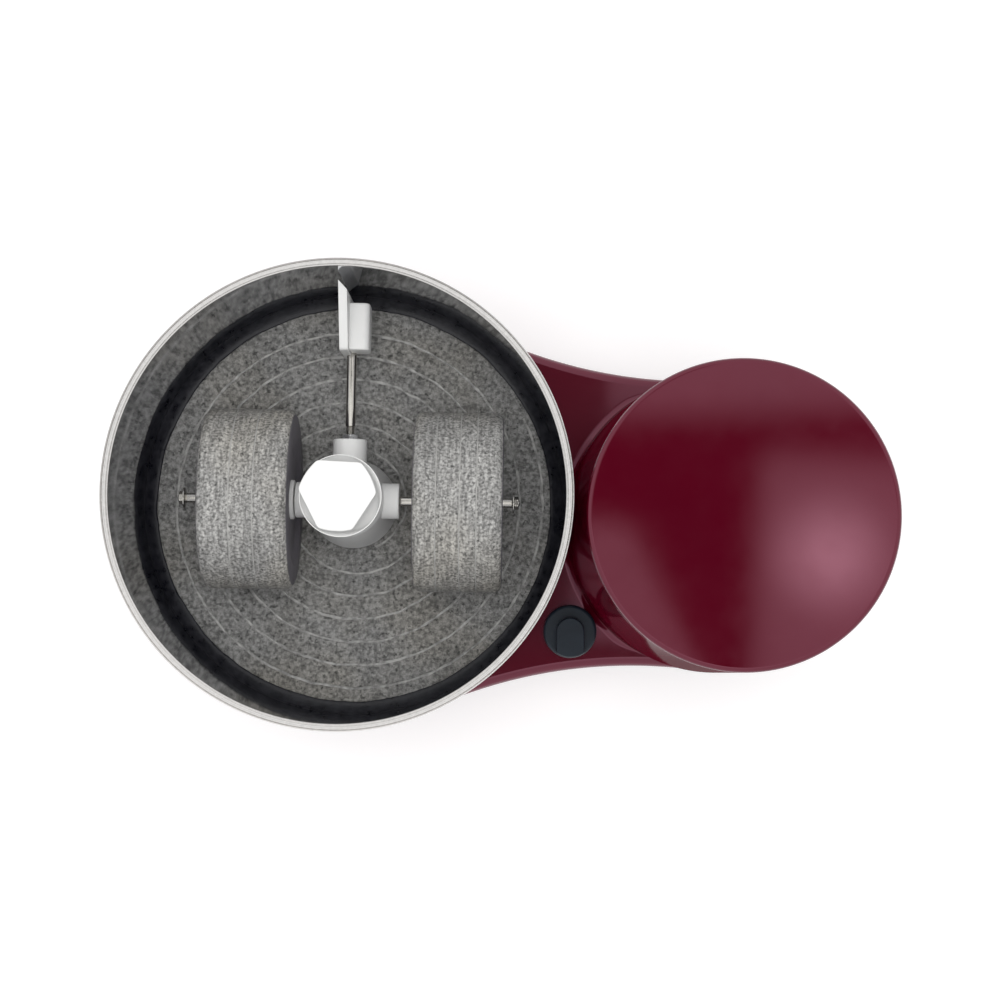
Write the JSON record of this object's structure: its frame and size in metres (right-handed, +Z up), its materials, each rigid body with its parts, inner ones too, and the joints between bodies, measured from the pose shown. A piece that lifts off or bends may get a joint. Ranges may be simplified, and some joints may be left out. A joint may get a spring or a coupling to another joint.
{
  "type": "wet grinder",
  "caption": "Tabletop wet grinder: granite roller stones ride on a granite bed in a steel drum that a belt turns from the motor tower beside it, with a scraper and a switch knob.",
  "frame": {"origin": "middle of the footprint, at the table surface under the rubber feet", "axes": "+Z up; +X along the housing's long line, from the drum towards the motor tower; the control knob stands on the -Y side, which is the front"},
  "size_m": [0.4666, 0.278, 0.268],
  "materials": {
    "housing_gloss": "glossy maroon moulded plastic",
    "drum_steel": "polished stainless steel",
    "bright_steel": "bright plated steel",
    "zinc_steel": "zinc-plated pressed steel",
    "cast_alloy": "cast alloy, machined faces",
    "dark_steel": "dark steel",
    "core_steel": "laminated electrical steel",
    "copper_wire": "enamelled copper wire",
    "bronze": "sintered bronze",
    "black_rubber": "moulded rubber",
    "seal_dark": "dark sealing compound",
    "white_nylon": "white moulded nylon",
    "bed_granite": "dark speckled granite, dressed flat",
    "roller_granite": "grey speckled granite, turned",
    "bedding": "white cement",
    "knob_plastic": "dark slate moulded plastic",
    "black_plastic": "black moulded plastic",
    "wire_cover": "red wire insulation",
    "can_metal": "drawn can"
  },
  "bodies": {
    "base": {"base_housing": "housing_gloss", "tower_lid": "housing_gloss", "base_plate": "zinc_steel", "rubber_feet": "black_rubber", "case_screws": "dark_steel", "bearing_housing": "cast_alloy", "bearing_screws": "dark_steel", "bearing_outer_rings": "bright_steel", "centre_shaft": "bright_steel", "shaft_nut": "dark_steel", "deck_seal": "black_rubber", "motor_plate": "zinc_steel", "motor_posts": "zinc_steel", "motor_dampers": "black_rubber", "motor_lower_bell": "cast_alloy", "motor_upper_bell": "cast_alloy", "stator_core": "core_steel", "stator_windings": "copper_wire", "motor_bolts": "zinc_steel", "motor_bushes": "bronze", "drive_belt": "black_rubber", "capacitor": "can_metal", "capacitor_strap": "zinc_steel", "switch_body": "black_plastic", "terminal_block": "white_nylon", "wire_leads": "wire_cover", "cord_gland": "black_rubber"},
    "drive_spindle": {"drive_spindle": "bright_steel", "bearing_inner_rings": "bright_steel", "bearing_balls": "bright_steel", "large_pulley": "cast_alloy", "pulley_screws": "dark_steel", "drive_coupler": "cast_alloy"},
    "drum": {"drum_shell": "drum_steel", "drum_socket": "cast_alloy", "socket_screws": "dark_steel", "centre_column": "drum_steel", "stone_bedding": "bedding", "bed_stone": "bed_granite", "seal_ring": "seal_dark"},
    "roller_assembly": {"roller_hub": "white_nylon", "left_axle": "bright_steel", "right_axle": "bright_steel", "axle_washers": "bright_steel", "axle_nuts": "bright_steel", "scraper_rod": "bright_steel", "rod_nut": "bright_steel"},
    "left_stone": {"left_stone": "roller_granite", "left_stone_bush": "white_nylon"},
    "right_stone": {"right_stone": "roller_granite", "right_stone_bush": "white_nylon"},
    "lock_cap": {"lock_cap": "white_nylon"},
    "scraper": {"scraper_blade": "white_nylon"},
    "motor_rotor": {"rotor_core": "core_steel", "rotor_shaft": "bright_steel", "cooling_fan": "black_plastic", "motor_pulley": "cast_alloy"},
    "control_knob": {"control_knob": "knob_plastic", "switch_spindle": "zinc_steel"}
  },
  "joints": [
    {"name": "drum_spin", "type": "hinge", "parent": "base", "child": "drive_spindle", "pos_m": [-0.09425, 0, 0.06], "axis": [0, 0, 1], "continuous": true},
    {"name": "drum_lift", "type": "slide", "parent": "drive_spindle", "child": "drum", "axis": [0, 0, 1], "range_m": [0, 0.15]},
    {"name": "roller_lift", "type": "slide", "parent": "base", "child": "roller_assembly", "axis": [0, 0, 1], "range_m": [0, 0.3]},
    {"name": "left_stone_spin", "type": "hinge", "parent": "roller_assembly", "child": "left_stone", "pos_m": [-0.09425, 0, 0.182], "axis": [0.9994, 0.0349, 0], "continuous": true},
    {"name": "right_stone_spin", "type": "hinge", "parent": "roller_assembly", "child": "right_stone", "pos_m": [-0.09425, 0, 0.182], "axis": [0.9994, 0.0349, 0], "continuous": true},
    {"name": "lock_turn", "type": "hinge", "parent": "roller_assembly", "child": "lock_cap", "pos_m": [-0.09425, 0, 0.245], "axis": [0, 0, 1], "range_deg": [0, 90]},
    {"name": "scraper_tilt", "type": "hinge", "parent": "roller_assembly", "child": "scraper", "pos_m": [-0.09425, 0, 0.172], "axis": [-0.0349, 0.9994, 0], "range_deg": [-10, 10]},
    {"name": "motor_spin", "type": "hinge", "parent": "base", "child": "motor_rotor", "pos_m": [0.13775, 0, 0.12], "axis": [0, 0, 1], "continuous": true},
    {"name": "knob_turn", "type": "hinge", "parent": "base", "child": "control_knob", "pos_m": [0.04745, -0.0735, 0.1], "axis": [0, 0, -1], "range_deg": [0, 90]}
  ],
  "couplings": [
    {"joint": "drum_lift", "follows": "roller_lift", "ratio": 0.5},
    {"joint": "motor_spin", "follows": "drum_spin", "ratio": 7},
    {"joint": "left_stone_spin", "follows": "drum_spin", "ratio": -1.076},
    {"joint": "right_stone_spin", "follows": "drum_spin", "ratio": 1.239}
  ]
}
